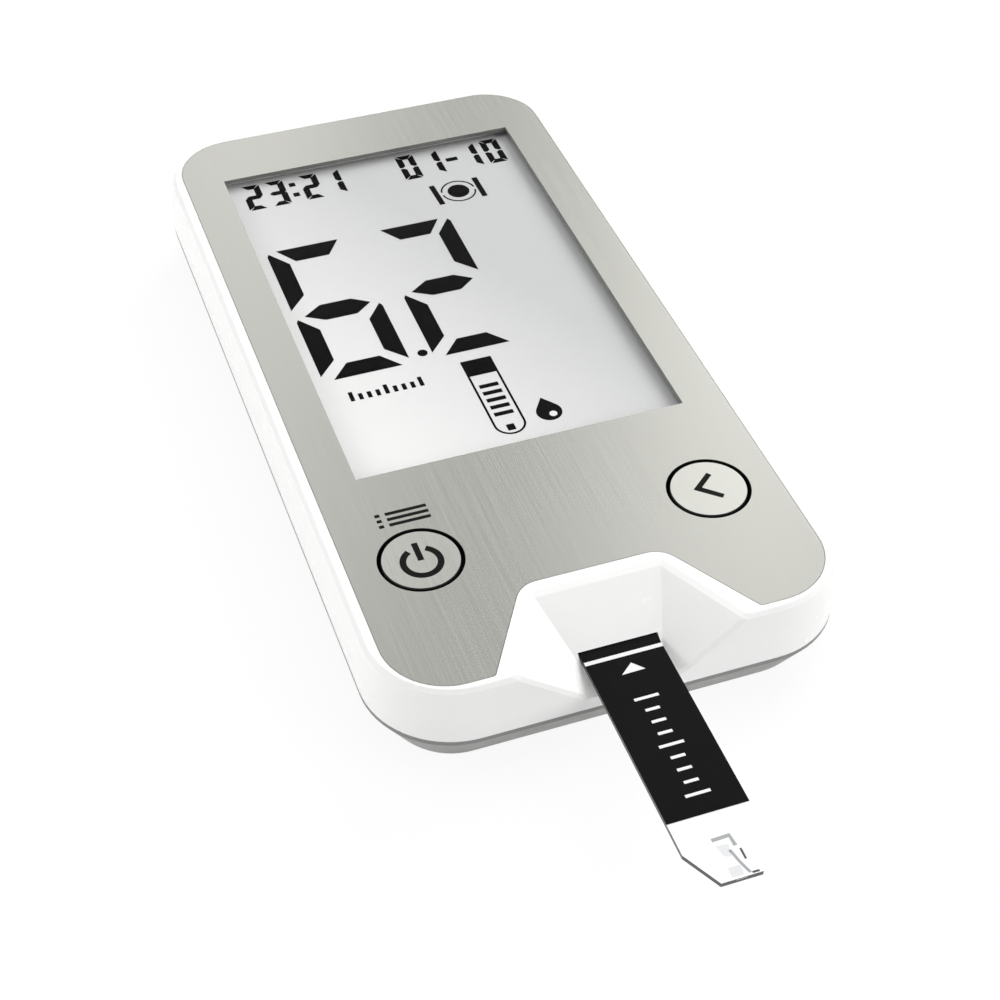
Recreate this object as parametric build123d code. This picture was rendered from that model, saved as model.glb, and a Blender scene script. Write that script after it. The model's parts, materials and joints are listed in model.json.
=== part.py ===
from build123d import *
import os
from math import cos, radians, tan

# Blood glucose meter with a test strip in its port, as separate pieces.
# Millimetres. X runs across the face, Y towards the far end, Z up.
# The origin is the centre of the flat bottom face of the body.

os.makedirs("parts", exist_ok=True)

# ---- Body, outside ----------------------------------------------------------
body_length = 94.3  # at the parting line
body_width = 47.7  # at the parting line
body_height = 12.0
upper_height = 6.3  # from the parting line, where the shells meet, to the face
corner_radius = 9.0  # in plan, at the parting line
belt_above = 2.2  # upright belt round the body, above the parting line
belt_below = 0.5  # and below it
upper_draft = 6.9  # degrees, the upper shell narrows upwards above the belt
lower_draft = 31.0  # degrees, the lower shell narrows downwards below the belt
bottom_edge_radius = 2.0
top_edge_chamfer = 0.35
wall = 1.5
lip_height = 1.0  # tongues of the lower shell inside the upper one
fit_gap = 0.1  # between pieces that only slip together
clip_width = 4.0  # spring clips that hold the front end shut
clip_thickness = 0.8
clip_height = 2.6  # above the parting line
clip_root = 1.3  # below it, inside the lower shell's front wall
clip_window = 1.0  # height of the window that the catch snaps into
clip_border = 0.7  # round that window
clip_place = 13.0  # from the middle

# ---- Face plate -------------------------------------------------------------
plate_thickness = 0.5
side_rim = 1.3  # white rim left beside the plate
end_rim = 1.0  # white rim left at both ends of the plate
plate_corner_radius = 6.4
plate_gap = 0.06  # round the plate in its recess
notch_depth = 9.9  # from the front edge of the plate
notch_side_land = 2.55  # straight front edge between notch and corner
notch_back_half = 7.2
notch_radius = 2.8
notch_tip_radius = 0.5

# ---- Display ----------------------------------------------------------------
window_side_margin = 4.455  # from the side edges of the plate
window_top_margin = 8.05  # from its far edge
window_bottom_margin = 28.76  # from its front edge
window_overlap = 3.4  # hidden border of the clear window
clear_thickness = 0.7
deck_thickness = 1.5  # top wall of the upper shell under the plate
glass_border = 0.8  # display glass past the visible window
glass_thickness = 0.9
contact_ledge = 1.8  # front glass past the rear glass, for the connector
reflector_thickness = 0.3
display_wall = 0.8  # wall of the display frame
display_ledge = 1.0  # inner ledge of the frame, which carries the reflector
display_ledge_height = 0.8

# ---- Circuit board ----------------------------------------------------------
board_thickness = 1.0
board_side_gap = 1.2  # from the inner wall
board_notch_half = 8.0  # front notch that clears the port
board_notch_depth = 1.7
board_boss_gap = 0.3  # from the screw bosses

# ---- Chips and small parts on the board -------------------------------------
chip_height = 1.2
lead_thickness = 0.15
lead_reach = 0.7
processor_side = 8.0
processor_lead_count = 5
processor_pitch = 1.0
memory_side = 4.9
memory_lead_count = 4
memory_pitch = 1.27
crystal_length = 3.2
crystal_width = 1.5
crystal_height = 0.9
capacitor_length = 1.6
capacitor_width = 0.8
capacitor_count = 6
buzzer_radius = 3.6
buzzer_height = 2.0

# ---- Buttons and their switches ---------------------------------------------
button_from_side = 8.95  # from the side of the body
button_from_front = 17.6  # from the front end of the body
button_radius = 3.9
button_gap = 0.32  # dark ring between cap and plate
button_edge = 0.12  # chamfer round the top of the cap
button_ear = 1.0  # reach of the two ears that keep the cap in
button_ear_width = 3.0
button_ear_thickness = 0.5
button_stem_radius = 1.4
button_travel = 0.3  # down to the stop in the switch
stop_gap = 0.05  # ears to the stop above them
switch_width = 4.8
switch_height = 1.5  # from the board to the top of the cover
switch_cover = 0.2
switch_corner = 0.4
switch_well_radius = 1.9
plunger_radius = 1.1
plunger_flange = 0.5
plunger_flange_thickness = 0.2
plunger_left = 0.4  # above the cover when pressed
dome_thickness = 0.08
dome_left = 0.25  # height of the dome when pressed
dome_crown_half = 0.6  # flat middle of the dome
dome_leg_width = 1.0

# ---- Test strip and its port ------------------------------------------------
strip_width = 7.8
strip_reach = 23.6  # from the front end of the body to the strip's tip
strip_depth = 14.4  # from there to the strip's inner end
strip_base_thickness = 0.3
strip_spacer_thickness = 0.12
strip_cover_thickness = 0.13
strip_film_thickness = 0.08
strip_tip_length = 7.1  # pale tip in front of the dark cover
strip_chamfer_length = 3.7
strip_end_width = 3.9
strip_contact_length = 5.0  # bare base at the inner end
sample_channel_width = 1.1
sample_channel_length = 4.2
port_floor = 1.35  # board to the underside of the strip
port_clearance = 0.12  # round the strip
port_width = 12.6
port_roof = 0.9
port_back = 1.6  # solid back of the port behind the strip's end
contact_count = 4
contact_pitch = 1.7
contact_width = 0.7
contact_thickness = 0.2
contact_roof = 0.25  # port roof left over the contacts
touch_gap = 0.03  # spring contact to a piece that slides past it

# ---- Scoop that leads the strip into the port -------------------------------
scoop_length = 9.8  # from the front end, at the level of the face
scoop_back_half = 6.5
scoop_flare = 27.0  # degrees from Y, the mouth widens towards the front
scoop_back_run = 1.68  # horizontal run of the back facet for each mm down
scoop_side_run = 1.46  # the same for the side facets, along X
scoop_floor_gap = 0.95  # under the strip
scoop_wall = 1.2
scoop_edge_chamfer = 0.3  # where the scoop breaks through the front wall

# ---- Batteries, their compartment and its door ------------------------------
cell_diameter = 20.0
cell_spacing = 21.2
cell_from_end = 15.4  # middle of the rear cell from the far end of the body
cell_gap = 0.25  # round the cells in their cradles
cell_end_gap = 0.35  # from the cells to the ends of the compartment
cell_seat_gap = 0.05  # cells above the door's metal link
cell_step_height = 0.5  # smaller terminal button of the cell
cell_step = 1.1  # radius lost at that button
cradle_wall = 0.75
bay_end_wall = 0.8
bay_wall = 1.0
bay_ceiling = 0.5
leaf_room = 0.45  # for the leaf contacts over the cells
leaf_thickness = 0.2
leaf_width = 4.0
door_thickness = 1.2
door_recess = 0.15  # door above the rest plane
door_half_width = 11.0
door_tongue = 0.7  # side tongues of the door
door_tongue_level = 0.75  # underside of the tongues
door_lip = 2.25  # fixed lip under the front cell
door_cap_height = 3.6  # height of the door's end wall
door_cap_length = 5.65  # end wall zone, at the parting line's end
grip_count = 5
grip_start = 6.0  # from the front edge of the door
grip_pitch = 1.5
grip_length = 11.0
grip_depth = 0.3
link_thickness = 0.15
link_width = 6.0

# ---- Screws -----------------------------------------------------------------
screw_from_bay = 2.2  # screws beside the battery compartment
screw_from_end = 5.8
screw_head_radius = 1.7
screw_head_height = 1.1
screw_head_gap = 0.2
screw_cross_long = 1.8
screw_cross_short = 0.4
screw_cross_depth = 0.6
screw_shank_radius = 0.85
screw_seat = 2.4
screw_tip_gap = 1.0  # from the screw's end to the deck
boss_radius = 1.9
lower_boss_radius = 2.9

# ---- Places that follow from the sizes above --------------------------------
front_end = -body_length / 2
far_end = body_length / 2
parting_height = body_height - upper_height
belt_low = parting_height - belt_below
belt_high = parting_height + belt_above
top_narrowing = (body_height - belt_high) * tan(radians(upper_draft))
plate_width = body_width - 2 * (top_narrowing + side_rim)
plate_length = body_length - 2 * (top_narrowing + end_rim)
plate_bottom = body_height - plate_thickness
deck_bottom = plate_bottom - deck_thickness
clear_bottom = plate_bottom - clear_thickness
notch_front_half = plate_width / 2 - plate_corner_radius - notch_side_land
window_width = plate_width - 2 * window_side_margin
window_length = plate_length - window_top_margin - window_bottom_margin
window_center = plate_length / 2 - window_top_margin - window_length / 2
glass_half_width = window_width / 2 + glass_border
glass_far = window_center + window_length / 2 + glass_border
glass_front = window_center - window_length / 2 - glass_border
front_glass_top = clear_bottom - stop_gap
rear_glass_top = front_glass_top - glass_thickness
reflector_top = rear_glass_top - glass_thickness
frame_inner_half = glass_half_width + fit_gap
frame_far = glass_far + fit_gap + display_wall
frame_front = glass_front - contact_ledge - fit_gap - display_wall
board_bottom = parting_height
board_top = board_bottom + board_thickness
clip_front = front_end + wall + (clip_height - belt_above) * tan(radians(upper_draft)) + fit_gap
board_half_width = body_width / 2 - wall - board_side_gap
board_half_length = body_length / 2 - wall - board_side_gap
board_corner_radius = corner_radius - wall - board_side_gap
button_y = front_end + button_from_front
switch_top = board_top + switch_height
lid_bottom = switch_top - switch_cover
plunger_top = switch_top + plunger_left + button_travel
dome_crown = lid_bottom - stop_gap - plunger_flange_thickness
well_floor = dome_crown - dome_thickness - dome_left - button_travel
button_x = body_width / 2 - button_from_side
button_places = {"power": -button_x, "select": button_x}
strip_bottom = board_top + port_floor
strip_base_top = strip_bottom + strip_base_thickness
strip_spacer_top = strip_base_top + strip_spacer_thickness
strip_top = strip_spacer_top + strip_cover_thickness
strip_tip = front_end - strip_reach
strip_inner_end = front_end + strip_depth
scoop_floor = strip_bottom - scoop_floor_gap
scoop_back = front_end + scoop_length
scoop_mouth_half = scoop_back_half + scoop_length * tan(radians(scoop_flare))
scoop_back_shift = scoop_wall * (1 + scoop_back_run**2) ** 0.5
port_top = strip_top + port_clearance + port_roof
port_back_end = strip_inner_end + port_back
port_front = scoop_back + scoop_back_shift - (body_height - port_top) * scoop_back_run + fit_gap
bay_roof = board_bottom - bay_ceiling
door_top = door_recess + door_thickness
link_top = door_top + link_thickness
rear_cell_y = far_end - cell_from_end
front_cell_y = rear_cell_y - cell_spacing
cell_seat = link_top + cell_seat_gap
cell_top = bay_roof - leaf_room
bay_far = rear_cell_y + cell_diameter / 2 + cell_end_gap
bay_front = front_cell_y - cell_diameter / 2 - cell_end_gap
bay_half_width = door_half_width + door_tongue + fit_gap
door_front = bay_front + door_lip
screw_x = bay_half_width + bay_wall + screw_from_bay
screw_y = far_end - screw_from_end
screw_top = deck_bottom - screw_tip_gap
screw_places = [(-screw_x, screw_y), (screw_x, screw_y)]
rib_front = -board_half_length + board_notch_depth
cross_rib_y = (rib_front + bay_front) / 2


# ---- Shared forms -----------------------------------------------------------
def outline(height, inset=0.0):
    """Plan outline of the body at a height, moved inwards by the inset."""
    narrowing = max(height - belt_high, 0) * tan(radians(upper_draft))
    narrowing += max(belt_low - height, 0) * tan(radians(lower_draft))
    reach = narrowing + inset
    rounded = RectangleRounded(
        body_width - 2 * reach, body_length - 2 * reach, corner_radius - reach
    )
    return Plane.XY.offset(height) * rounded


def hull(low, high, inset=0.0):
    """Solid of the body between two heights: upright at the belt, tapered past it."""
    foot = max(low, belt_low)
    head = min(high, belt_high)
    solid = Part()
    if foot < head:
        solid += extrude(outline(foot, inset), amount=head - foot)
    if high > belt_high:
        foot = max(low, belt_high)
        solid += extrude(outline(foot, inset), amount=high - foot, taper=upper_draft)
    if low < belt_low:
        head = min(high, belt_low)
        solid += extrude(outline(head, inset), amount=low - head, taper=lower_draft)
    return solid


def lip_ring(outer_inset, height):
    """Tongues along the straight sides of the parting line, inside an outline."""
    ring = hull(parting_height, parting_height + height, outer_inset)
    ring -= hull(parting_height, parting_height + height, wall)
    top = parting_height + height
    for side in (-1, 1):
        for end in (-1, 1):
            x = sorted((side * body_width / 2, side * (body_width / 2 - corner_radius)))
            y = sorted((end * far_end, end * (far_end - corner_radius)))
            ring -= block(*x, *y, parting_height, top)
    return ring


def block(x_low, x_high, y_low, y_high, z_low, z_high):
    """Box between two corners."""
    box = Box(x_high - x_low, y_high - y_low, z_high - z_low)
    return Pos((x_low + x_high) / 2, (y_low + y_high) / 2, (z_low + z_high) / 2) * box


def disc(x, y, radius, z_low, z_high):
    """Upright cylinder between two heights."""
    cylinder = Cylinder(radius, z_high - z_low)
    return Pos(x, y, (z_low + z_high) / 2) * cylinder


def slab(sketch, z_low, z_high):
    """Flat piece of one outline between two heights."""
    return extrude(Plane.XY.offset(z_low) * sketch, amount=z_high - z_low)


def bent_leaf(points, width, thickness, x=0.0):
    """Sheet-metal leaf that follows points in the YZ plane, centred on x."""
    profile = trace(Polyline(*points), line_width=thickness)
    return Pos(x - width / 2, 0, 0) * extrude(Plane.YZ * profile, amount=width)


def scoop(grow=0.0):
    """Funnel of the strip's entry, its walls moved outwards by grow."""
    funnel = block(
        -body_width / 2,
        body_width / 2,
        front_end - wall,
        0,
        scoop_floor - grow,
        body_height + wall,
    )
    flare = tan(radians(scoop_flare))
    back = Plane((0, scoop_back, body_height), z_dir=(0, 1, -scoop_back_run))
    funnel = split(funnel, bisect_by=back.offset(grow), keep=Keep.BOTTOM)
    for side in (-1, 1):
        corner = (side * scoop_back_half, scoop_back, body_height)
        facet = Plane(corner, z_dir=(side, flare, -scoop_side_run))
        funnel = split(funnel, bisect_by=facet.offset(grow), keep=Keep.BOTTOM)
    return funnel


def strip_room(clearance):
    """Straight passage for the strip, from its inner end to past the front."""
    half = strip_width / 2 + clearance
    return block(
        -half,
        half,
        front_end - wall,
        strip_inner_end + clearance,
        strip_bottom - clearance,
        strip_top + clearance,
    )


# ---- Face plate -------------------------------------------------------------
def plate_sketch():
    """Outline of the face plate with its front notch, without its openings."""
    front = -plate_length / 2
    back = front + notch_depth
    drop = (notch_front_half - notch_back_half) / notch_depth
    past = front - wall
    past_half = notch_front_half + drop * wall
    corners = [
        (-past_half, past),
        (-notch_back_half, back),
        (notch_back_half, back),
        (past_half, past),
    ]
    notch = make_face(Polyline(*corners, close=True))
    notch = fillet(notch.vertices().sort_by(Axis.Y)[-2:], notch_radius)
    plate = RectangleRounded(plate_width, plate_length, plate_corner_radius) - notch
    tips = [
        plate.vertices().sort_by_distance((side * notch_front_half, front, 0))[0]
        for side in (-1, 1)
    ]
    return fillet(tips, notch_tip_radius)


def face_plate():
    """Thin metal plate glued into the top of the upper shell."""
    sketch = plate_sketch()
    sketch -= Pos(0, window_center) * Rectangle(window_width, window_length)
    for x in button_places.values():
        sketch -= Pos(x, button_y) * Circle(button_radius + button_gap)
    return slab(sketch, plate_bottom, body_height)


# ---- Shells -----------------------------------------------------------------
def upper_hull():
    """Solid form of the upper shell, with the scoop cut out and its edges eased."""
    solid = hull(parting_height, body_height) - scoop()
    front_wall = (front_end - fit_gap, front_end + top_narrowing)
    creases = solid.edges().filter_by_position(Axis.Y, *front_wall)
    creases = creases.filter_by_position(Axis.X, -scoop_mouth_half, scoop_mouth_half)
    creases = [edge for edge in creases if abs((edge @ 1 - edge @ 0).Z) > fit_gap]
    solid = chamfer(creases, scoop_edge_chamfer)
    return chamfer(solid.faces().sort_by(Axis.Z)[-1].edges(), top_edge_chamfer)


def upper_housing():
    """Upper shell: rim, deck under the plate, scoop, strip slot and bosses."""
    outer = upper_hull()
    shell = outer - hull(parting_height, deck_bottom, wall)
    shell += scoop(scoop_wall) & outer
    for x, y in screw_places:
        shell += disc(x, y, boss_radius, board_bottom, deck_bottom)
    shell += clip_catches()
    shell -= lip_ring(wall / 2, lip_height + fit_gap) - scoop(scoop_wall)
    recess = offset(plate_sketch(), amount=plate_gap)
    shell -= slab(recess, plate_bottom, body_height + wall)
    pocket = Rectangle(
        window_width + 2 * (window_overlap + fit_gap),
        window_length + 2 * (window_overlap + fit_gap),
    )
    shell -= slab(Pos(0, window_center) * pocket, clear_bottom, plate_bottom)
    shell -= block(
        -glass_half_width - 2 * fit_gap,
        glass_half_width + 2 * fit_gap,
        glass_front - contact_ledge - 2 * fit_gap,
        glass_far + 2 * fit_gap,
        deck_bottom,
        clear_bottom,
    )
    for x in button_places.values():
        hole = button_radius + button_gap
        shell -= disc(x, button_y, hole, deck_bottom, body_height)
    shell -= strip_room(port_clearance)
    for x, y in screw_places:
        shell -= disc(x, y, screw_shank_radius + fit_gap / 4, board_bottom, screw_top)
    return shell


def clip_tabs():
    """Upright spring clips of the lower shell, just inside the front wall."""
    back = clip_front + clip_thickness
    high = parting_height + clip_height
    half = clip_width / 2
    tabs = Part()
    for x in (-clip_place, clip_place):
        low = parting_height - clip_root
        tab = block(x - half, x + half, clip_front, back, low, high)
        tab -= block(
            x - half + clip_border,
            x + half - clip_border,
            clip_front,
            back,
            high - clip_border - clip_window,
            high - clip_border,
        )
        tabs += tab
    return tabs


def clip_catches():
    """Catches inside the upper shell's front wall, which sit in the clips' windows."""
    back = clip_front + clip_thickness
    high = parting_height + clip_height - clip_border - fit_gap
    low = high - clip_window + 2 * fit_gap
    half = clip_width / 2 - clip_border - fit_gap
    catches = Part()
    for x in (-clip_place, clip_place):
        catches += block(x - half, x + half, front_end + wall / 2, back - fit_gap, low, high)
    return catches


def door_form(gap, low, high):
    """Space of the battery door between two levels, with a gap round it."""
    past = far_end + wall
    front = door_front - gap
    narrow = door_half_width + gap
    wide = narrow + door_tongue
    skin = block(-narrow, narrow, front, past, low, high)
    tongues = block(-wide, wide, front, past, door_tongue_level - gap, high)
    cap_front = far_end - door_cap_length - gap
    cap = block(-wide, wide, cap_front, past, low, door_cap_height + gap)
    return skin + tongues + cap


def lower_hull():
    """Solid form of the lower shell, with its rounded bottom edge."""
    solid = hull(0, parting_height)
    return fillet(solid.faces().sort_by(Axis.Z)[0].edges(), bottom_edge_radius)


def battery_bay():
    """Walls, cell cradles and ceiling of the battery compartment."""
    low = door_top + fit_gap
    outside = block(
        -bay_half_width - bay_wall,
        bay_half_width + bay_wall,
        bay_front - bay_wall,
        bay_far + bay_end_wall,
        low,
        board_bottom,
    )
    inside = block(-bay_half_width, bay_half_width, bay_front, bay_far, low, bay_roof)
    cradles = Part()
    cells = Part()
    for y in (front_cell_y, rear_cell_y):
        inner = cell_diameter / 2 + cell_gap
        cradles += disc(0, y, inner + cradle_wall, cell_seat, bay_roof)
        cells += disc(0, y, inner, cell_seat, bay_roof)
    link_way = block(
        -link_width / 2 - fit_gap,
        link_width / 2 + fit_gap,
        bay_far,
        bay_far + bay_end_wall,
        low,
        link_top + fit_gap,
    )
    return (outside - inside - link_way) + ((cradles & inside) - cells)


def lower_housing():
    """Lower shell: floor, lip, battery compartment, door rails and bosses."""
    outer = lower_hull()
    slant = wall / cos(radians(lower_draft))
    shell = outer - hull(wall, parting_height, slant)
    shell += lip_ring(wall / 2 + fit_gap, lip_height) - scoop(scoop_wall + fit_gap)
    shell += clip_tabs()
    bosses = Part()
    for x, y in screw_places:
        bosses += disc(x, y, lower_boss_radius, 0, parting_height)
    shell += bosses & outer
    shell += support_ribs()
    shell -= door_form(fit_gap, -wall, wall)
    shell += battery_bay()
    for x, y in screw_places:
        shell -= disc(x, y, screw_head_radius + screw_head_gap, -wall, screw_seat)
        shell -= disc(x, y, screw_shank_radius + fit_gap, screw_seat, parting_height)
    for y in (front_cell_y, rear_cell_y):
        tab = y - leaf_width
        shell -= block(
            -leaf_width / 2 - fit_gap,
            leaf_width / 2 + fit_gap,
            tab - leaf_thickness,
            tab + leaf_thickness,
            bay_roof,
            board_bottom,
        )
    return shell


def support_ribs():
    """Ribs on the floor that carry the front half of the circuit board."""
    ribs = Part()
    rib = wall / 2
    for x in (-board_notch_half, board_notch_half):
        ribs += block(
            x - rib / 2, x + rib / 2, rib_front, bay_front - bay_wall / 2, wall / 2, board_bottom
        )
    low = cross_rib_y - rib / 2
    ribs += block(-screw_x, screw_x, low, low + rib, wall / 2, board_bottom)
    return ribs


# ---- Display stack ----------------------------------------------------------
def display_window():
    """Clear window glued under the plate, in a pocket of the upper shell."""
    sketch = Rectangle(window_width + 2 * window_overlap, window_length + 2 * window_overlap)
    return slab(Pos(0, window_center) * sketch, clear_bottom, plate_bottom)


def lcd_front_glass():
    """Front glass of the display, with a ledge for the connector."""
    low = glass_front - contact_ledge
    return block(
        -glass_half_width, glass_half_width, low, glass_far, rear_glass_top, front_glass_top
    )


def lcd_rear_glass():
    """Rear glass of the display."""
    half = glass_half_width
    return block(-half, half, glass_front, glass_far, reflector_top, rear_glass_top)


def lcd_reflector():
    """White sheet behind the rear glass."""
    half = glass_half_width
    low = reflector_top - reflector_thickness
    return block(-half, half, glass_front, glass_far, low, reflector_top)


def lcd_frame():
    """Plastic frame that holds the display over the circuit board."""
    half = frame_inner_half + display_wall
    frame = block(-half, half, frame_front, frame_far, board_top, deck_bottom - stop_gap)
    inner_front = frame_front + display_wall
    inner_far = frame_far - display_wall
    frame -= block(
        -frame_inner_half, frame_inner_half, inner_front, inner_far, board_top, deck_bottom
    )
    ledge_top = reflector_top - reflector_thickness
    ledge_low = ledge_top - display_ledge_height
    ledge_front = glass_front + contact_ledge / 2
    ledge = block(
        -frame_inner_half, frame_inner_half, glass_front, inner_far, ledge_low, ledge_top
    )
    ledge -= block(
        -frame_inner_half + display_ledge,
        frame_inner_half - display_ledge,
        ledge_front,
        inner_far - display_ledge,
        ledge_low,
        ledge_top,
    )
    return frame + ledge


def lcd_connector():
    """Elastomer strip between the board and the front glass's ledge."""
    half = glass_half_width - contact_ledge / 2
    low = glass_front - contact_ledge + fit_gap
    high = glass_front - fit_gap
    return block(-half, half, low, high, board_top, rear_glass_top)


# ---- Circuit board and what is on it ----------------------------------------
def circuit_board():
    """Board between the shells, cut out at the screw bosses and at the port."""
    sketch = RectangleRounded(
        2 * board_half_width, 2 * board_half_length, board_corner_radius
    )
    notch = Rectangle(2 * board_notch_half, 2 * board_notch_depth)
    sketch -= Pos(0, -board_half_length) * notch
    inner_x = screw_x - boss_radius - board_boss_gap
    inner_y = screw_y - boss_radius - board_boss_gap
    cut = Rectangle(board_half_width, board_half_length, align=Align.MIN)
    for side in (-1, 1):
        turned = Pos(inner_x, inner_y) * cut
        if side < 0:
            turned = mirror(turned, about=Plane.YZ)
        sketch -= turned
    return slab(sketch, board_bottom, board_top)


def chip(side, leads, pitch, lead_sides):
    """Square chip body with gull-wing leads on two or four of its sides."""
    top = board_top + chip_height
    body = slab(Rectangle(side, side), board_top + lead_thickness, top)
    body = chamfer(body.faces().sort_by(Axis.Z)[-1].edges(), lead_thickness)
    middle = board_top + chip_height / 2
    foot = board_top + lead_thickness / 2
    bend = side / 2 + lead_reach / 2
    points = [(side / 2, middle), (bend, foot), (side / 2 + lead_reach, foot)]
    for turn in range(lead_sides):
        angle = turn * 360 / lead_sides
        for place in range(leads):
            along = (place - (leads - 1) / 2) * pitch
            body += Rot(0, 0, angle) * bent_leaf(points, pitch / 2, lead_thickness, along)
    return body


def main_chip():
    """Measuring processor, with leads on four sides."""
    processor = chip(processor_side, processor_lead_count, processor_pitch, 4)
    return Pos(processor_side / 2, window_center, 0) * processor


def memory_chip():
    """Memory for the stored readings, with leads on two sides."""
    memory = chip(memory_side, memory_lead_count, memory_pitch, 2)
    return Pos(-2 * memory_side, window_center, 0) * memory


def clock_crystal():
    """Metal can of the clock crystal, next to the processor."""
    near = window_center - processor_side
    can = block(0, crystal_length, near - crystal_width, near, board_top, board_top + crystal_height)
    return chamfer(can.edges().filter_by(Axis.Z), crystal_width / 4)


def chip_capacitors():
    """Row of small capacitors beside the processor."""
    x = processor_side + 2 * lead_reach + capacitor_length
    half = capacitor_width / 2
    row = []
    for place in range(capacitor_count):
        y = window_center + (place - (capacitor_count - 1) / 2) * 3 * capacitor_width
        top = board_top + capacitor_width
        row.append(block(x, x + capacitor_length, y - half, y + half, board_top, top))
    return Compound(row)


def buzzer():
    """Round sounder under the board, between the cross rib and the batteries."""
    y = (cross_rib_y + bay_front - bay_wall) / 2
    low = board_bottom - buzzer_height
    can = disc(0, y, buzzer_radius, low, board_bottom)
    return can - disc(0, y, buzzer_radius / 4, low, low + buzzer_height / 2)


# ---- Buttons ----------------------------------------------------------------
def button_cap(x):
    """Round flat cap with two retaining ears and a stem to its switch."""
    ear_top = deck_bottom - stop_gap
    ear_low = ear_top - button_ear_thickness
    cap = disc(x, button_y, button_radius, ear_low, body_height)
    cap = chamfer(cap.faces().sort_by(Axis.Z)[-1].edges(), button_edge)
    reach = button_radius + button_ear
    half = button_ear_width / 2
    cap += block(x - reach, x + reach, button_y - half, button_y + half, ear_low, ear_top)
    return cap + disc(x, button_y, button_stem_radius, plunger_top, ear_low)


def switch_base(x):
    """Square base of the switch, with the well that holds its dome."""
    half = switch_width / 2
    base = block(x - half, x + half, button_y - half, button_y + half, board_top, lid_bottom)
    base = chamfer(base.edges().filter_by(Axis.Z), switch_corner)
    return base - disc(x, button_y, switch_well_radius, well_floor, lid_bottom)


def switch_lid(x):
    """Metal cover of the switch, with the hole for its plunger."""
    half = switch_width / 2
    lid = block(x - half, x + half, button_y - half, button_y + half, lid_bottom, switch_top)
    lid = chamfer(lid.edges().filter_by(Axis.Z), switch_corner)
    return lid - disc(x, button_y, plunger_radius + fit_gap / 2, lid_bottom, switch_top)


def switch_plunger(x):
    """Plunger between the cap's stem and the dome."""
    plunger = disc(x, button_y, plunger_radius, dome_crown, plunger_top)
    flange = disc(x, button_y, plunger_radius + plunger_flange, dome_crown, lid_bottom - stop_gap)
    return plunger + flange


def switch_dome(x):
    """Snap dome that returns the button: cross of thin sheet, raised in the middle."""
    half = dome_leg_width / 2
    reach = ((switch_well_radius - fit_gap) ** 2 - half**2) ** 0.5
    crown = dome_crown - dome_thickness
    profile = Polyline(
        (-reach, well_floor),
        (-reach, well_floor + dome_thickness),
        (-dome_crown_half, dome_crown),
        (dome_crown_half, dome_crown),
        (reach, well_floor + dome_thickness),
        (reach, well_floor),
        (dome_crown_half, crown),
        (-dome_crown_half, crown),
        close=True,
    )
    legs = extrude(Plane.XZ * make_face(profile), amount=half, both=True)
    return Pos(x, button_y, 0) * (legs + Rot(0, 0, 90) * legs)


# ---- Strip port -------------------------------------------------------------
def strip_connector():
    """Port body on the board, with a channel for the strip and its contacts."""
    half = port_width / 2
    body = block(-half, half, port_front, port_back_end, board_top, port_top)
    lead_in = body.edges().filter_by(Axis.X).sort_by(Axis.Z)[-2:].sort_by(Axis.Y)[0]
    body = chamfer(lead_in, port_roof * 0.6)
    body -= strip_room(port_clearance)
    for x in contact_places():
        room = contact_width / 2 + fit_gap
        front = strip_inner_end - strip_contact_length
        roof = port_top - contact_roof
        body -= block(x - room, x + room, front, port_back_end, strip_bottom, roof)
    return body


def contact_places():
    """X of each spring contact in the port."""
    return [(n - (contact_count - 1) / 2) * contact_pitch for n in range(contact_count)]


def strip_contacts():
    """Gilt spring fingers that press on the strip's bare inner end."""
    back = port_back_end + 2 * contact_thickness
    half = contact_thickness / 2
    touch = strip_base_top + touch_gap + half
    roof = port_top - contact_roof - half
    points = [
        (back + port_back / 2, board_top + half),
        (back, board_top + half),
        (back, roof),
        (strip_inner_end - 0.1 * strip_contact_length, roof),
        (strip_inner_end - 0.4 * strip_contact_length, touch),
        (strip_inner_end - 0.65 * strip_contact_length, touch + contact_thickness),
    ]
    return Compound(
        [bent_leaf(points, contact_width, contact_thickness, x) for x in contact_places()]
    )


# ---- Test strip -------------------------------------------------------------
def strip_outline(front, back):
    """Plan of the strip between two places, with its chamfered tip."""
    half = strip_width / 2
    end_half = strip_end_width / 2
    corners = [
        (-end_half, strip_tip),
        (end_half, strip_tip),
        (half, strip_tip + strip_chamfer_length),
        (half, strip_inner_end),
        (-half, strip_inner_end),
        (-half, strip_tip + strip_chamfer_length),
    ]
    whole = make_face(Polyline(*corners, close=True))
    span = Pos(0, (front + back) / 2) * Rectangle(2 * strip_width, back - front)
    return whole & span


def strip_base():
    """Carrier film of the strip, with its printed side up."""
    return slab(strip_outline(strip_tip, strip_inner_end), strip_bottom, strip_base_top)


def strip_spacer():
    """Adhesive layer with the sample channel open at the tip."""
    back = strip_inner_end - strip_contact_length
    sketch = strip_outline(strip_tip, back)
    channel = Rectangle(sample_channel_width, 2 * sample_channel_length)
    sketch -= Pos(0, strip_tip) * channel
    return slab(sketch, strip_base_top, strip_spacer_top)


def strip_cover():
    """Dark printed film over the strip's grip."""
    back = strip_inner_end - strip_contact_length
    return slab(strip_outline(strip_tip + strip_tip_length, back), strip_spacer_top, strip_top)


def strip_tip_film():
    """Clear film that closes the sample channel at the tip."""
    top = strip_spacer_top + strip_film_thickness
    return slab(strip_outline(strip_tip, strip_tip + strip_tip_length), strip_spacer_top, top)


# ---- Batteries and door -----------------------------------------------------
def coin_cell(y, step_up):
    """Coin cell with its smaller terminal facing up or down."""
    wide = cell_diameter / 2
    narrow = wide - cell_step
    if step_up:
        step = cell_top - cell_step_height
        return disc(0, y, wide, cell_seat, step) + disc(0, y, narrow, step, cell_top)
    step = cell_seat + cell_step_height
    return disc(0, y, narrow, cell_seat, step) + disc(0, y, wide, step, cell_top)


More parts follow.
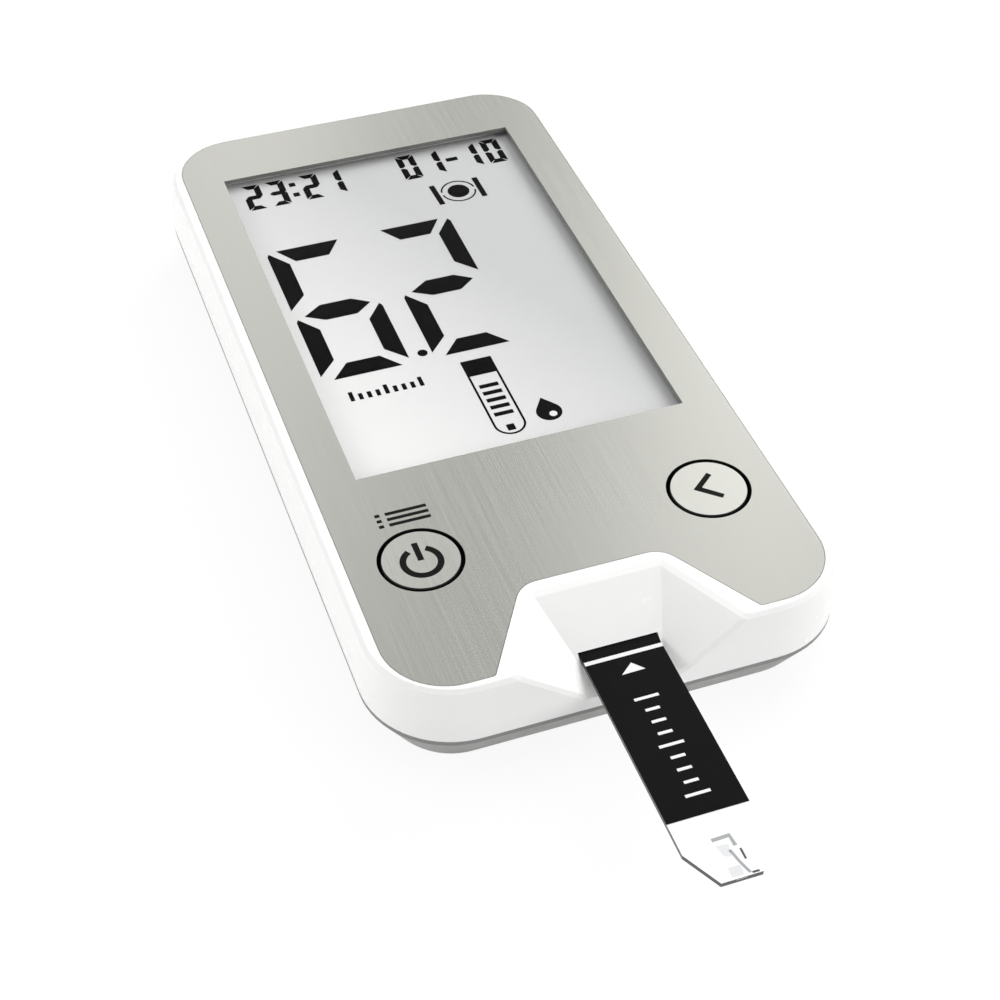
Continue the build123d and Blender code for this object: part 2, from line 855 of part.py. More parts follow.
def battery_leaf(y):
    """Leaf contact from the board down to the top of one cell."""
    half = leaf_thickness / 2
    high = bay_roof - half
    low = cell_top + half
    points = [
        (y - leaf_width, board_bottom),
        (y - leaf_width, high),
        (y - leaf_width / 2, high),
        (y, low),
        (y + leaf_width / 2, high),
        (y + leaf_width / 2 + 0.6, high),
    ]
    return bent_leaf(points, leaf_width, leaf_thickness)


def battery_door():
    """Sliding door: skin, side tongues, end wall and thumb grips."""
    slant = door_thickness / cos(radians(lower_draft))
    door = lower_hull() & door_form(0, door_recess, door_top)
    door -= hull(door_top, parting_height, slant)
    half = grip_length / 2
    for place in range(grip_count):
        y = door_front + grip_start + place * grip_pitch
        door -= block(-half, half, y - grip_depth, y + grip_depth, 0, door_recess + grip_depth)
    return door


def door_link_plate():
    """Metal strip on the door that joins the two cells."""
    half = link_width / 2
    front = front_cell_y - cell_diameter / 4
    far = rear_cell_y + cell_diameter / 4
    plate = block(-half, half, front, far, door_top, link_top)
    return chamfer(plate.edges().filter_by(Axis.Z), half / 2)


# ---- Screws -----------------------------------------------------------------
def housing_screws():
    """Two cross-head screws that clamp the far end of the shells."""
    screws = []
    for x, y in screw_places:
        low = screw_seat - screw_head_height
        head = disc(x, y, screw_head_radius, low, screw_seat)
        for cross_x, cross_y in (
            (screw_cross_long, screw_cross_short),
            (screw_cross_short, screw_cross_long),
        ):
            head -= block(
                x - cross_x / 2,
                x + cross_x / 2,
                y - cross_y / 2,
                y + cross_y / 2,
                low,
                low + screw_cross_depth,
            )
        screws.append(head + disc(x, y, screw_shank_radius, screw_seat, screw_top))
    return Compound(screws)


# ---- Write every piece ------------------------------------------------------
pieces = {
    "upper_housing": upper_housing(),
    "lower_housing": lower_housing(),
    "face_plate": face_plate(),
    "display_window": display_window(),
    "lcd_front_glass": lcd_front_glass(),
    "lcd_rear_glass": lcd_rear_glass(),
    "lcd_reflector": lcd_reflector(),
    "lcd_frame": lcd_frame(),
    "lcd_connector": lcd_connector(),
    "circuit_board": circuit_board(),
    "main_chip": main_chip(),
    "memory_chip": memory_chip(),
    "clock_crystal": clock_crystal(),
    "chip_capacitors": chip_capacitors(),
    "buzzer": buzzer(),
    "strip_connector": strip_connector(),
    "strip_contacts": strip_contacts(),
    "strip_base": strip_base(),
    "strip_spacer": strip_spacer(),
    "strip_cover": strip_cover(),
    "strip_tip_film": strip_tip_film(),
    "battery_front": coin_cell(front_cell_y, step_up=True),
    "battery_rear": coin_cell(rear_cell_y, step_up=False),
    "negative_contact": battery_leaf(front_cell_y),
    "positive_contact": battery_leaf(rear_cell_y),
    "battery_door": battery_door(),
    "door_link_plate": door_link_plate(),
    "housing_screws": housing_screws(),
}
for name, x in button_places.items():
    pieces[name + "_button"] = button_cap(x)
    pieces[name + "_switch_base"] = switch_base(x)
    pieces[name + "_switch_lid"] = switch_lid(x)
    pieces[name + "_plunger"] = switch_plunger(x)
    pieces[name + "_snap_dome"] = switch_dome(x)

for name, piece in pieces.items():
    export_step(piece, f"parts/{name}.step")
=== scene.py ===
import bmesh
import bpy
import json
from math import atan2, cos, pi, radians, sin
from mathutils import Matrix, Vector


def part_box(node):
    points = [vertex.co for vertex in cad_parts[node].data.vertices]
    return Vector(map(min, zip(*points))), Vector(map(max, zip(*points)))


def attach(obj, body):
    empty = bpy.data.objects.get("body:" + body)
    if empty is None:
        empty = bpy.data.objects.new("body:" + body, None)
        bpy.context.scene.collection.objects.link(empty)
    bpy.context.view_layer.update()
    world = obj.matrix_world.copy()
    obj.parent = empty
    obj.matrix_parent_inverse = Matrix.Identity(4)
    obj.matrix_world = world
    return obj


# A blood glucose meter. Every CAD node stays as it is and gets a procedural material. What is
# printed on the meter and its strip is added as thin pieces that ride on their bodies.
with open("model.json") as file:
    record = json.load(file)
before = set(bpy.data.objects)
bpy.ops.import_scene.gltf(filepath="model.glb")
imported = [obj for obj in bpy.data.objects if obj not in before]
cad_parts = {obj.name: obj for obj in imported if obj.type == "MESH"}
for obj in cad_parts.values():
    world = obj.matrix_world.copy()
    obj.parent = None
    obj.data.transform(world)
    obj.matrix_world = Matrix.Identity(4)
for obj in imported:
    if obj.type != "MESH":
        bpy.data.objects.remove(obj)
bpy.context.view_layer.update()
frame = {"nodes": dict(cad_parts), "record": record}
nodes = frame["nodes"]
MM = 0.001  # metres in a millimetre; the printed marks are laid out in millimetres
INK = 0.012  # thickness of a printed mark
INK_GAP = 0.004  # between the display's front glass and its segments
face_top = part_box("face_plate")[1].z / MM
cap_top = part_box("power_button")[1].z / MM
glass_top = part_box("lcd_front_glass")[1].z / MM
cover_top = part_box("strip_cover")[1].z / MM
film_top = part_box("strip_tip_film")[1].z / MM


def middle(node):
    low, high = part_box(node)
    return (low.x + high.x) / 2 / MM, (low.y + high.y) / 2 / MM


# ---- Camera ------------------------------------------------------------------------------
# Place, direction and lens were fitted to the outlines of the plate, the window and the buttons.
camera_place = Vector((-0.052281, -0.155542, 0.145177))
camera_forward = Vector((0.24472905, 0.68048467, -0.69068683))
camera_right = Vector((0.94232541, -0.33467222, 0.00416265))
camera_up = camera_right.cross(camera_forward)
camera_data = bpy.data.cameras.new("camera")
camera_data.sensor_width = 36
camera_data.lens = 70.875
camera_data.clip_start = 0.01
camera = bpy.data.objects.new("camera", camera_data)
bpy.context.scene.collection.objects.link(camera)
turn = Matrix((camera_right, camera_up, -camera_forward)).transposed()
camera.matrix_world = Matrix.Translation(camera_place) @ turn.to_4x4()
bpy.context.scene.camera = camera
bpy.context.scene.view_settings.view_transform = "Standard"


# ---- Materials ---------------------------------------------------------------------------
def linear(*steps):
    """A grey, or red, green and blue, in sRGB steps from 0 to 255, as a linear colour."""
    if len(steps) == 1:
        steps = steps * 3
    shares = [step / 255 for step in steps]
    return tuple(s / 12.92 if s <= 0.04045 else ((s + 0.055) / 1.055) ** 2.4
                 for s in shares) + (1,)


def darker(colour, share):
    return tuple(c * (1 - share) for c in colour[:3]) + (1,)


class Graph:
    """Short calls for the nodes of a material or of the world."""

    def __init__(self, tree):
        self.tree = tree
        tree.nodes.clear()

    def join(self, source, target):
        self.tree.links.new(source, target)

    def fill(self, socket, value):
        if isinstance(value, bpy.types.NodeSocket):
            self.join(value, socket)
        else:
            socket.default_value = value

    def node(self, kind, **values):
        made = self.tree.nodes.new("ShaderNode" + kind)
        for key, value in values.items():
            self.fill(made.inputs[key.replace("_", " ")], value)
        return made

    def math(self, operation, *values):
        made = self.tree.nodes.new("ShaderNodeMath")
        made.operation = operation
        for socket, value in zip(made.inputs, values):
            self.fill(socket, value)
        return made.outputs["Value"]

    def ranged(self, value, low, high, to_low, to_high):
        return self.node("MapRange", Value=value, From_Min=low, From_Max=high,
                         To_Min=to_low, To_Max=to_high).outputs["Result"]

    def axes(self, vector):
        found = self.node("SeparateXYZ", Vector=vector).outputs
        return found["X"], found["Y"], found["Z"]

    def seen(self):
        """1 for camera, glossy and transmission rays, which see the studio white, else 0."""
        rays = self.node("LightPath").outputs
        total = rays["Is Camera Ray"]
        for name in ("Is Glossy Ray", "Is Transmission Ray"):
            total = self.math("MAXIMUM", total, rays[name])
        return total


looks = {}


class Look(Graph):
    """A material under construction, kept under its name in looks."""

    def __init__(self, name):
        self.material = bpy.data.materials.new(name)
        self.material.use_nodes = True
        super().__init__(self.material.node_tree)
        self.shader = self.node("BsdfPrincipled")
        self.join(self.shader.outputs["BSDF"], self.node("OutputMaterial").inputs["Surface"])
        self.place = self.node("TexCoord").outputs["Object"]
        looks[name] = self

    def set(self, **values):
        for key, value in values.items():
            self.fill(self.shader.inputs[key.replace("_", " ")], value)

    def stretched(self, scale):
        """Object coordinates with another scale along each axis."""
        return self.node("Mapping", Vector=self.place, Scale=scale).outputs["Vector"]

    def noise(self, scale, detail=2.0, roughness=0.5, vector=None):
        return self.node("TexNoise", Vector=vector or self.place, Scale=scale, Detail=detail,
                         Roughness=roughness).outputs["Fac"]

    def varied(self, noise, low, high, edge=0.3):
        """A noise, which lies mostly between edge and 1 - edge, spread from low to high."""
        return self.ranged(noise, edge, 1 - edge, low, high)

    def mixed(self, factor, a, b):
        made = self.tree.nodes.new("ShaderNodeMix")
        made.data_type = "RGBA"
        for name, value in (("Factor_Float", factor), ("A_Color", a), ("B_Color", b)):
            self.fill(next(s for s in made.inputs if s.identifier == name), value)
        return next(s for s in made.outputs if s.identifier == "Result_Color")

    def paint(self, where, colour):
        """Lay a colour over the one the look has, where the mask is 1."""
        source = self.shader.inputs["Base Color"].links[0].from_socket
        self.set(Base_Color=self.mixed(where, source, colour))

    def bump(self, height, strength, distance):
        made = self.node("Bump", Height=height, Strength=strength, Distance=distance * MM)
        self.set(Normal=made.outputs["Normal"])

    def brush(self, dark, light):
        """Fine lines along Y in tone, gloss and relief. Returns the roughness."""
        lines = self.noise(1.0, 5, 0.65, self.stretched((5200, 60, 600)))
        self.set(Base_Color=self.mixed(self.varied(lines, 0.0, 1.0, 0.36), dark, light))
        roughness = self.varied(lines, 0.18, 0.23)
        self.set(Roughness=roughness)
        self.bump(lines, 0.014, 0.01)
        return roughness

    def walls(self):
        """1 on the piece's upright walls, 0 on its top and underside."""
        normal = self.node("TexCoord").outputs["Normal"]
        return self.math("LESS_THAN", self.math("ABSOLUTE", self.axes(normal)[2]), 0.5)

    def near_buttons(self, radius):
        """1 within that many millimetres of a button's axis, else 0."""
        inside = []
        x, y, _ = self.axes(self.place)
        for node in ("power_button", "select_button"):
            squares = []
            for along, centre in zip((x, y), middle(node)):
                away = self.math("SUBTRACT", along, centre * MM)
                squares.append(self.math("MULTIPLY", away, away))
            inside.append(self.math("LESS_THAN", self.math("ADD", *squares), (radius * MM) ** 2))
        return self.math("MAXIMUM", *inside)


def moulded(name, colour, roughness, peel=0.25, spread=0.03, specular=0.5):
    """Moulded plastic or ink: faint mottling, uneven gloss and a fine orange-peel surface."""
    look = Look(name)
    mottling = look.varied(look.noise(60, 3), 0.0, 1.0, 0.35)
    look.set(Base_Color=look.mixed(mottling, darker(colour, spread), colour))
    gloss = look.noise(420, 4, 0.6)
    look.set(Roughness=look.varied(gloss, roughness * 0.85, roughness * 1.15))
    look.set(Specular_IOR_Level=specular)
    look.bump(look.noise(2600, 3, 0.6), peel, 0.02)
    return look


def metal(name, colour, roughness, scratch):
    """Plain metal with fine scratches along the axis whose scale is small."""
    look = Look(name)
    lines = look.noise(1.0, 4, 0.6, look.stretched(scratch))
    look.set(Base_Color=look.mixed(look.varied(lines, 0.0, 1.0), darker(colour, 0.14), colour))
    look.set(Metallic=1.0, Roughness=look.varied(lines, roughness * 0.8, roughness * 1.25))
    look.bump(lines, 0.15, 0.01)


def film(name, colour, roughness):
    """Strip film whose cut edges are painted dark: painted shade along its edges."""
    moulded(name, colour, roughness, 0.2, 0.015).paint(looks[name].walls(), linear(84))


# Black for painted shade: it darkens the gaps round the buttons, where shade falls.
GAP_SHADE_BLACK = linear(12)
BRUSHED_METALLIC = 0.75  # the rest of the brushed surface is a pale matt coat

# White shell: gloss plastic, with painted shade: black inside the wells of the buttons, which
# darkens the gaps round them.
WELL_RADIUS = 5.6
look = moulded("shell_white", linear(249, 249, 248), 0.24, spread=0.012)
below = look.math("LESS_THAN", look.axes(look.place)[2], (face_top - 0.4) * MM)
look.paint(look.math("MULTIPLY", look.near_buttons(WELL_RADIUS), below), GAP_SHADE_BLACK)

# Face plate: brushed on top, matt grey on its cut edges, and with painted shade: the walls of its
# button holes are black, which darkens the gaps round the buttons.
HOLE_RADIUS = 4.235  # takes in the walls of the plate's button holes
look = Look("plate_metal")
roughness = look.brush(linear(213, 213, 206), linear(218, 218, 211))
upright = look.walls()
painted_hole_shade = look.near_buttons(HOLE_RADIUS)
look.paint(upright, linear(120, 120, 117))
look.paint(painted_hole_shade, GAP_SHADE_BLACK)
bare = look.math("SUBTRACT", 1.0, look.math("MAXIMUM", painted_hole_shade, upright))
look.set(Metallic=look.math("MULTIPLY", bare, BRUSHED_METALLIC))
look.set(Roughness=look.math("MAXIMUM", roughness, look.math("MULTIPLY", upright, 0.6)))

# Button caps: brushed silver on top, with painted shade: their sides are black, which darkens the
# gaps round them.
look = Look("button_silver")
look.brush(linear(228, 228, 221), linear(233, 233, 226))
painted_skirt_shade = look.math("LESS_THAN", look.axes(look.place)[2], (cap_top - 0.005) * MM)
look.paint(painted_skirt_shade, GAP_SHADE_BLACK)
bare = look.math("SUBTRACT", 1.0, painted_skirt_shade)
look.set(Metallic=look.math("MULTIPLY", bare, BRUSHED_METALLIC))

# Clear window: thin and nearly unseen, with faint smears.
look = Look("clear_window")
smears = look.noise(55, 4, 0.6)
look.set(Base_Color=look.mixed(look.ranged(smears, 0.4, 0.7, 0.0, 1.0), linear(60), linear(90)))
look.set(Roughness=look.varied(smears, 0.03, 0.08), Alpha=0.025)

# Display glass: pale grey with a painted gradient of light and shade: lighter towards the near left
# corner, darker towards the far right.
look = Look("display_glass")
x, y, _ = look.axes(look.place)
slope = look.math("ADD", look.math("MULTIPLY", x, 2.2), y)
painted_glass_shading = look.ranged(slope, -42 * MM, 30 * MM, 0.0, 1.0)
tone = look.mixed(painted_glass_shading, linear(249, 249, 248), linear(207, 208, 208))
grain = look.varied(look.noise(1500, 3), 0.0, 0.03, 0.35)
look.set(Base_Color=look.mixed(grain, tone, linear(160)))
look.set(Roughness=look.varied(look.noise(300, 3), 0.4, 0.55), Specular_IOR_Level=0.2)
look.bump(look.noise(5200, 2), 0.1, 0.005)

# Elastomer connector: conducting and insulating layers in turn.
LAYER_PITCH = 0.5
look = Look("connector_rubber")
wave = look.math("MULTIPLY", look.axes(look.place)[0], 2 * pi / (LAYER_PITCH * MM))
layers = look.math("GREATER_THAN", look.math("SINE", wave), 0.0)
look.set(Base_Color=look.mixed(layers, linear(30), linear(150)))
look.set(Roughness=look.varied(look.noise(900), 0.6, 0.8))
look.bump(look.noise(2400, 3), 0.5, 0.02)

# Circuit board: solder mask with paler raised tracks.
look = Look("board_green")
cells = look.node("TexVoronoi", Vector=look.place, Scale=520.0)
cells.feature = "DISTANCE_TO_EDGE"
track = look.math("LESS_THAN", cells.outputs["Distance"], 0.06)
mottling = look.varied(look.noise(240, 3), 0.0, 1.0)
look.set(Base_Color=look.mixed(mottling, linear(10, 84, 44), linear(14, 104, 56)))
look.paint(track, linear(40, 138, 84))
look.set(Roughness=look.varied(look.noise(700), 0.3, 0.42))
look.bump(track, 0.3, 0.02)

film("strip_white", linear(238, 239, 238), 0.45)
film("strip_clear", linear(248, 249, 249), 0.2)

# Name, colour, roughness, strength of the orange peel, spread of the tone, specular level.
PLAIN = (
    # The lower shell's mid grey is painted shade: it darkens the band under the front edge, which
    # faces down.
    ("shell_grey", linear(132, 132, 130), 0.42, 0.5, 0.04, 0.5),
    ("reflector_white", linear(228), 0.7, 0.4, 0.03, 0.5),
    ("frame_plastic", linear(226), 0.5, 0.5, 0.03, 0.5),
    ("ceramic_tan", linear(176, 148, 108), 0.6, 0.8, 0.12, 0.5),
    ("chip_black", linear(32), 0.55, 0.9, 0.2, 0.5),
    ("strip_black", linear(14), 0.5, 0.5, 0.25, 0.12),
    ("segment_black", linear(9), 0.6, 0.2, 0.3, 0.05),
    ("ink_black", linear(16, 16, 15), 0.5, 0.4, 0.2, 0.15),
    ("ink_white", linear(240), 0.5, 0.4, 0.03, 0.5),
    ("ink_grey", linear(168, 170, 172), 0.5, 0.4, 0.06, 0.5),
    ("ink_pale", linear(226, 228, 229), 0.5, 0.4, 0.03, 0.5),
    ("ink_dark", linear(84), 0.5, 0.4, 0.1, 0.5),
)
for row in PLAIN:
    moulded(*row)

# Name, colour, roughness, scale of the scratches along X, Y and Z.
METALS = (
    ("bare_metal", linear(198, 199, 200), 0.3, (300, 3000, 300)),
    ("contact_gold", linear(226, 186, 108), 0.28, (2400, 240, 240)),
    ("cell_metal", linear(214, 214, 212), 0.34, (2200, 180, 400)),
    ("screw_steel", linear(178, 180, 184), 0.35, (1800, 1800, 300)),
)
for row in METALS:
    metal(*row)

for entry in frame["record"]["subparts"]:
    target = nodes[entry["node"]].data.materials
    target.clear()
    target.append(looks[entry["material_slot"]].material)


# ---- Printed marks -----------------------------------------------------------------------
def mark(name, outlines, level, body, slot, ink):
    """Flat marks: every outline becomes a thin prism that stands on the level."""
    data = bpy.data.meshes.new(name)
    mesh = bmesh.new()
    for outline in outlines:
        area = sum(a[0] * b[1] - b[0] * a[1] for a, b in zip(outline, outline[1:] + outline[:1]))
        points = outline if area > 0 else outline[::-1]
        low, high = [[mesh.verts.new((px * MM, py * MM, pz * MM)) for px, py in points]
                     for pz in (level, level + INK)]
        mesh.faces.new(high)
        mesh.faces.new(low[::-1])
        for i in range(len(points)):
            j = (i + 1) % len(points)
            mesh.faces.new((low[i], low[j], high[j], high[i]))
    mesh.to_mesh(data)
    mesh.free()
    piece = bpy.data.objects.new(name, data)
    bpy.context.scene.collection.objects.link(piece)
    data.materials.append(looks[ink].material)
    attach(piece, body)


def box_outline(x0, y0, x1, y1):
    return [(x0, y0), (x1, y0), (x1, y1), (x0, y1)]


def arc_points(cx, cy, radius, start, end, steps):
    angles = [radians(start + (end - start) * i / steps) for i in range(steps + 1)]
    return [(cx + radius * cos(a), cy + radius * sin(a)) for a in angles]


def disc(cx, cy, radius):
    return arc_points(cx, cy, radius, 0, 345, 23)


def band(points, width):
    """A stroke of that width along a line of points, with square ends."""
    left = []
    right = []
    last = len(points) - 1
    for i, (px, py) in enumerate(points):
        ax, ay = points[max(i - 1, 0)]
        bx, by = points[min(i + 1, last)]
        angle = atan2(by - ay, bx - ax)
        reach = width / 2
        if 0 < i < last:
            reach /= max(cos(angle - atan2(py - ay, px - ax)), 0.5)
        nx = -sin(angle) * reach
        ny = cos(angle) * reach
        left.append((px + nx, py + ny))
        right.append((px - nx, py - ny))
    return left + right[::-1]


# Segments from a at the top, clockwise to f, and g in the middle.
SHOWN = {"0": "abcdef", "1": "bc", "2": "abged", "3": "abgcd", "6": "afgecd"}


def big_digit(digit, x0, x1, ym):
    """Mitred segments with pointed ends between x0 and x1, with their middle at ym."""
    y0 = -0.05
    y1 = 23.88
    t = 2.1  # width of an upright segment
    parts = {
        "a": [(x0 + 1.2, y1), (x1 - 1.3, y1), (x1 - 3.0, y1 - 2.5), (x0 + 2.9, y1 - 2.5)],
        "b": [(x1 - 0.25, y1 - 0.3), (x1, y1 - 0.8), (x1, ym + 1.35), (x1 - t, ym + 3.7),
              (x1 - t, y1 - 2.8)],
        "c": [(x1 - 0.25, ym - 0.4), (x1, ym - 0.9), (x1, y0 + 0.9), (x1 - t, y0 + 3.2),
              (x1 - t, ym - 2.8)],
        "d": [(x0 + 1.2, y0), (x1 - 1.0, y0), (x1 - 2.9, y0 + 2.3), (x0 + 3.2, y0 + 2.3)],
        "g": [(x0 + 1.1, ym - 0.1), (x0 + 3.2, ym + 1.38), (x1 - 3.0, ym + 1.38),
              (x1 - 1.1, ym + 0.1), (x1 - 3.0, ym - 1.38), (x0 + 3.2, ym - 1.38)],
    }
    for copy, source in (("f", "b"), ("e", "c")):
        parts[copy] = [(x0 + x1 - px, py) for px, py in parts[source]]
    return [parts[s] for s in SHOWN[digit]]


def small_digit(digit, cx, y0):
    """Thin segments for the clock line, about cx and up from y0."""
    x0 = cx - 1.1
    x1 = cx + 1.1
    y1 = y0 + 5.0
    ym = (y0 + y1) / 2
    t = 0.76  # width of a segment
    h = t / 2
    g = 0.14  # gap at a corner
    parts = {
        "a": [(x0 + g, y1), (x1 - g, y1), (x1 - t, y1 - t), (x0 + t, y1 - t)],
        "b": [(x1, y1 - g), (x1, ym + g), (x1 - h, ym + g / 2), (x1 - t, ym + h), (x1 - t, y1 - t)],
        "g": [(x0 + g + h, ym + h), (x1 - g - h, ym + h), (x1 - g, ym), (x1 - g - h, ym - h),
              (x0 + g + h, ym - h), (x0 + g, ym)],
    }
    for copy, source in (("c", "b"), ("d", "a")):
        parts[copy] = [(px, y0 + y1 - py) for px, py in parts[source]]
    for copy, source in (("f", "b"), ("e", "c")):
        parts[copy] = [(x0 + x1 - px, py) for px, py in parts[source]]
    return [parts[s] for s in SHOWN[digit]]


def bar_lengths(count, long, short):
    """Lengths of the bars of a scale, of which every fourth is long."""
    return [short if i % 4 else long for i in range(count)]


# Display: reading, clock line and symbols.
display = (glass_top + INK_GAP, "meter_body", "display_glass", "segment_black")

reading = big_digit("6", -16.23, -6.45, 11.4) + big_digit("2", -3.84, 5.66, 11.75)
reading.append(disc(-4.85, 1.15, 0.55))
mark("reading_digits", reading, *display)

clock = []
for digit, cx in (("2", -14.7), ("3", -11.85), ("2", -7.75), ("1", -5.0),
                  ("0", 4.4), ("1", 7.35), ("1", 12.1), ("0", 15.1)):
    clock += small_digit(digit, cx, 32.5)
clock.append(box_outline(-10.2, 33.6, -9.45, 34.35))
clock.append(box_outline(-10.2, 35.7, -9.45, 36.45))
clock.append(box_outline(9.05, 34.6, 10.5, 35.3))
mark("clock_digits", clock, *display)

meal_x = 8.43
meal_y = 28.4
meal = [disc(meal_x, meal_y, 1.3)]
for start in (8, 188):
    meal.append(band(arc_points(meal_x, meal_y, 2.0, start, start + 164, 24), 0.2))
for upper_x, lower_x in ((-2.75, -2.6), (2.6, 2.65)):
    meal.append(band([(meal_x + upper_x, meal_y + 2.0), (meal_x + lower_x, meal_y - 2.0)], 0.66))
mark("meal_symbol", meal, *display)

unit_y = -4.0
unit = []
for i, length in enumerate(bar_lengths(9, 1.5, 1.0)):
    x0 = -14.3 + i * 0.95
    unit.append(box_outline(x0, unit_y, x0 + 0.45, unit_y + length))
mark("unit_bars", unit, *display)

left_x = -1.6
right_x = 1.85
neck_y = -4.3  # between the symbol's black head and its outlined body
bend_y = -12.6  # where the body's rounded end begins
stroke = 0.24
edge = stroke / 2
body_line = [(left_x + edge, neck_y), (left_x + edge, bend_y)]
body_line += arc_points((left_x + right_x) / 2, bend_y, (right_x - left_x) / 2 - edge,
                        180, 360, 16)[1:-1]
body_line += [(right_x - edge, bend_y), (right_x - edge, neck_y)]
strip_symbol = [box_outline(left_x, neck_y, right_x, -1.7), band(body_line, stroke)]
for i in range(5):
    low = -11.2 + i * 1.17
    strip_symbol.append(box_outline(left_x + 0.65, low, right_x - 0.7, low + 0.58))
strip_symbol.append(box_outline(-0.35, -13.7, 0.5, -12.75))
mark("strip_symbol", strip_symbol, *display)

drop_x = 4.62
drop_y = -12.25
drop = arc_points(drop_x, drop_y, 1.38, 145, 395, 22) + [(drop_x - 0.1, drop_y + 2.35)]
mark("drop_symbol", [drop], *display)
mark("drop_light", [arc_points(drop_x + 0.3, drop_y - 0.45, 0.42, 0, 340, 16)],
     glass_top + INK_GAP + INK, "meter_body", "display_glass", "ink_white")

# Face plate and buttons.
list_x = -14.8
list_y = -23.35
bars = []
for i in (-1, 0, 1):
    low = list_y + i * 0.78 - 0.2
    bars.append(box_outline(list_x - 1.55, low, list_x + 2.65, low + 0.4))
    bars.append(box_outline(list_x - 2.6, low, list_x - 2.1, low + 0.4))
mark("list_symbol", bars, face_top, "meter_body", "plate_metal", "ink_black")

cx, cy = middle("power_button")
opening = 28  # degrees from the top to either end of the ring
power = [band(arc_points(cx, cy - 0.3, 1.82, 90 + opening, 450 - opening, 40), 0.64),
         band([(cx, cy - 0.1), (cx, cy + 2.3)], 0.6)]
mark("power_symbol", power, face_top, "power_key", "button_silver", "ink_black")

cx, cy = middle("select_button")
arrow = band([(cx + 0.85, cy + 1.9), (cx - 1.05, cy + 0.3), (cx + 0.95, cy - 1.5)], 0.57)
mark("select_symbol", [arrow], face_top, "select_key", "button_silver", "ink_black")

# Strip: line, arrow and ticks on the black cover, and what shows through the clear tip.
cover = (cover_top, "strip", "strip_white", "ink_white")
mark("strip_line", [box_outline(-3.9, -44.57, 3.9, -44.12)], *cover)
mark("strip_arrow", [[(-1.1, -46.65), (1.25, -46.6), (0.25, -45.5)]], *cover)
ticks = []
for i, length in enumerate(bar_lengths(9, 2.4, 1.4)):
    low = -61.6 + i * 1.45
    ticks.append(box_outline(-length / 2, low, length / 2, low + 0.32))
mark("strip_ticks", ticks, *cover)

tip = (film_top, "strip", "strip_clear")
channel = [band([(-0.95, -66.45), (0.72, -66.4), (0.8, -67.55)], 0.36),
           band([(0.15, -67.85), (0.45, -69.25), (0.85, -70.5)], 0.26)]
mark("tip_channel", channel, *tip, "ink_grey")
pads = [[(-0.85, -67.1), (-0.55, -68.3), (0.0, -68.5), (0.3, -67.2)],
        box_outline(-0.8, -70.5, 0.3, -69.5)]
mark("tip_pads", pads, *tip, "ink_pale")
notes = [box_outline(0.97, -69.1, 1.17, -67.95), box_outline(1.0, -70.65, 1.65, -70.45)]
mark("tip_notes", notes, *tip, "ink_dark")


# ---- Floor, world and lamps --------------------------------------------------------------
# The floor is white to the camera and in mirrors, where it still takes the meter's shadow.
FLOOR_HALF = 4.0  # metres
floor_data = bpy.data.meshes.new("floor")
corners = box_outline(-FLOOR_HALF, -FLOOR_HALF, FLOOR_HALF, FLOOR_HALF)
floor_data.from_pydata([(px, py, 0) for px, py in corners], [], [(0, 1, 2, 3)])
floor = bpy.data.objects.new("floor", floor_data)
floor.location.z = -0.02 * MM
bpy.context.scene.collection.objects.link(floor)
look = Look("floor_white")
seen = look.seen()
look.set(Base_Color=look.mixed(seen, linear(246), linear(92)), Roughness=0.9,
         Specular_IOR_Level=0.0, Emission_Color=(1, 1, 1, 1),
         Emission_Strength=look.math("MULTIPLY", seen, 0.905))
floor_data.materials.append(look.material)

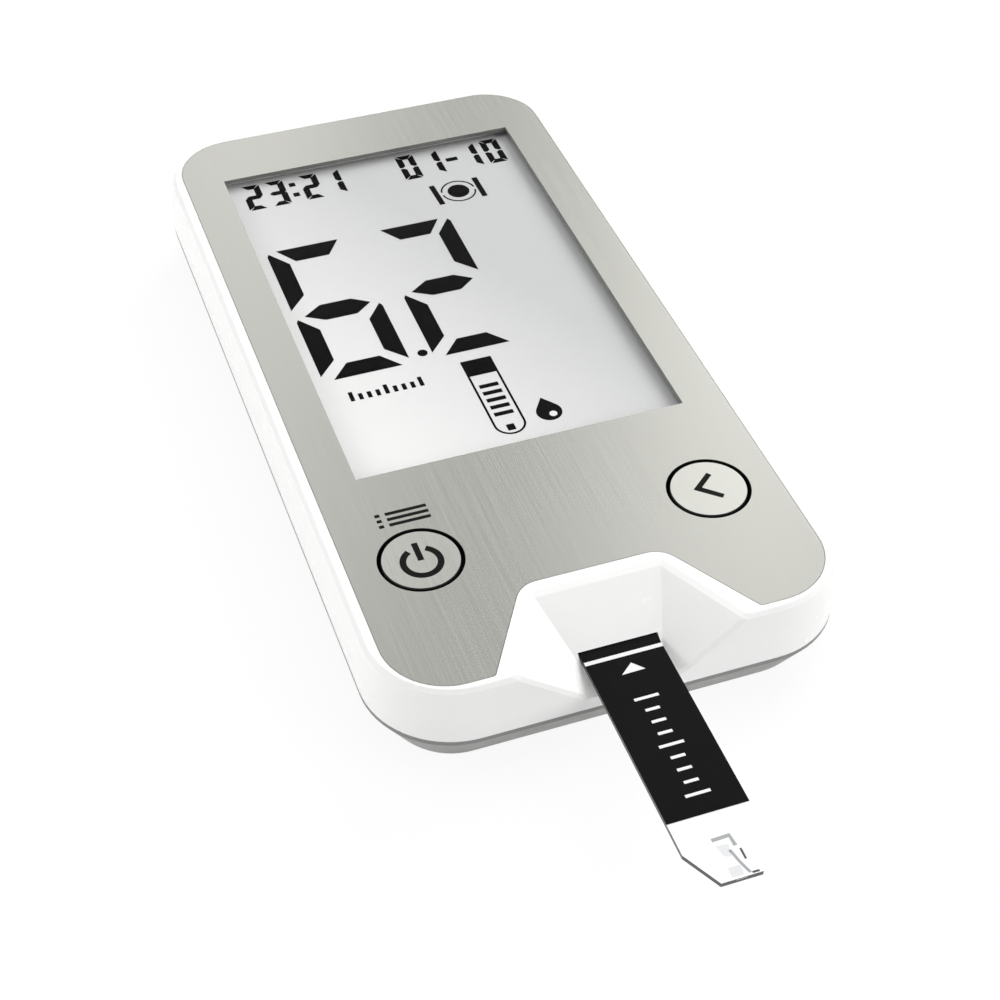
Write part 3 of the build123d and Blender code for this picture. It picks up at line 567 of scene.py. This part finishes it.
# The world lights the meter evenly. The camera sees it white. What the metal mirrors of it is a
# studio of soft panels, each a direction in degrees from +Y towards +X and its brightness. One
# dark gap between two of them shines back in the face plate.
PANELS = ((-60, 0.65), (4, 0.65), (12, 1.05), (18, 0.3),
          (23, 0.7), (29, 1.55), (36, 1.05), (60, 0.55))
WORLD_LIGHT = 0.3  # strength for the rays that light the meter
first = radians(PANELS[0][0])
last = radians(PANELS[-1][0])
world = bpy.data.worlds.new("world")
bpy.context.scene.world = world
world.use_nodes = True
sky = Graph(world.node_tree)
x, y, z = sky.axes(sky.node("TexCoord").outputs["Generated"])
azimuth = sky.math("ARCTAN2", x, y)
ramp = sky.node("ValToRGB", Fac=sky.ranged(azimuth, first, last, 0.0, 1.0))
stops = ramp.color_ramp.elements
for angle, _ in PANELS[1:-1]:
    stops.new((radians(angle) - first) / (last - first))
for stop, (_, tone) in zip(stops, PANELS):
    stop.color = (tone, tone, tone, 1)
falling = sky.ranged(z, 0.55, 0.78, 1.0, 0.54)  # the panels are darker towards the top
above = sky.ranged(z, -0.05, 0.05, 0.0, 1.0)  # and plain white below the horizon
panels = sky.ranged(above, 0.0, 1.0, 1.0, sky.math("MULTIPLY", falling, ramp.outputs["Color"]))
glossy = sky.node("LightPath").outputs["Is Glossy Ray"]
mirrored = sky.ranged(glossy, 0.0, 1.0, 1.0, panels)
strength = sky.math("MULTIPLY", sky.ranged(sky.seen(), 0.0, 1.0, WORLD_LIGHT, 1.0), mirrored)
back = sky.node("Background", Color=(1, 1, 1, 1), Strength=strength)
sky.join(back.outputs["Background"], sky.node("OutputWorld").inputs["Surface"])

# Square area lamps that point at the meter: name, place in metres, power in watts. Mirrored rays
# don't see them, so that the plate shows the panels only.
LAMPS = (
    ("right_back", (0.54, 0.45, 0.56), 5.0),
    ("right_front", (0.56, -0.56, 0.42), 3.1),
    ("left_back", (-0.54, 0.45, 0.56), 0.7),
    ("left_low", (-0.85, 0.1, 0.25), 3.4),
    ("above", (0.0, 0.0, 0.9), 1.7),
)
LAMP_SIDE = 0.6
for name, place, power in LAMPS:
    data = bpy.data.lights.new(name, "AREA")
    data.shape = "SQUARE"
    data.size = LAMP_SIDE
    data.energy = power
    lamp = bpy.data.objects.new(name, data)
    lamp.location = place
    lamp.rotation_euler = (-Vector(place)).to_track_quat("-Z", "Y").to_euler()
    lamp.visible_glossy = False
    bpy.context.scene.collection.objects.link(lamp)
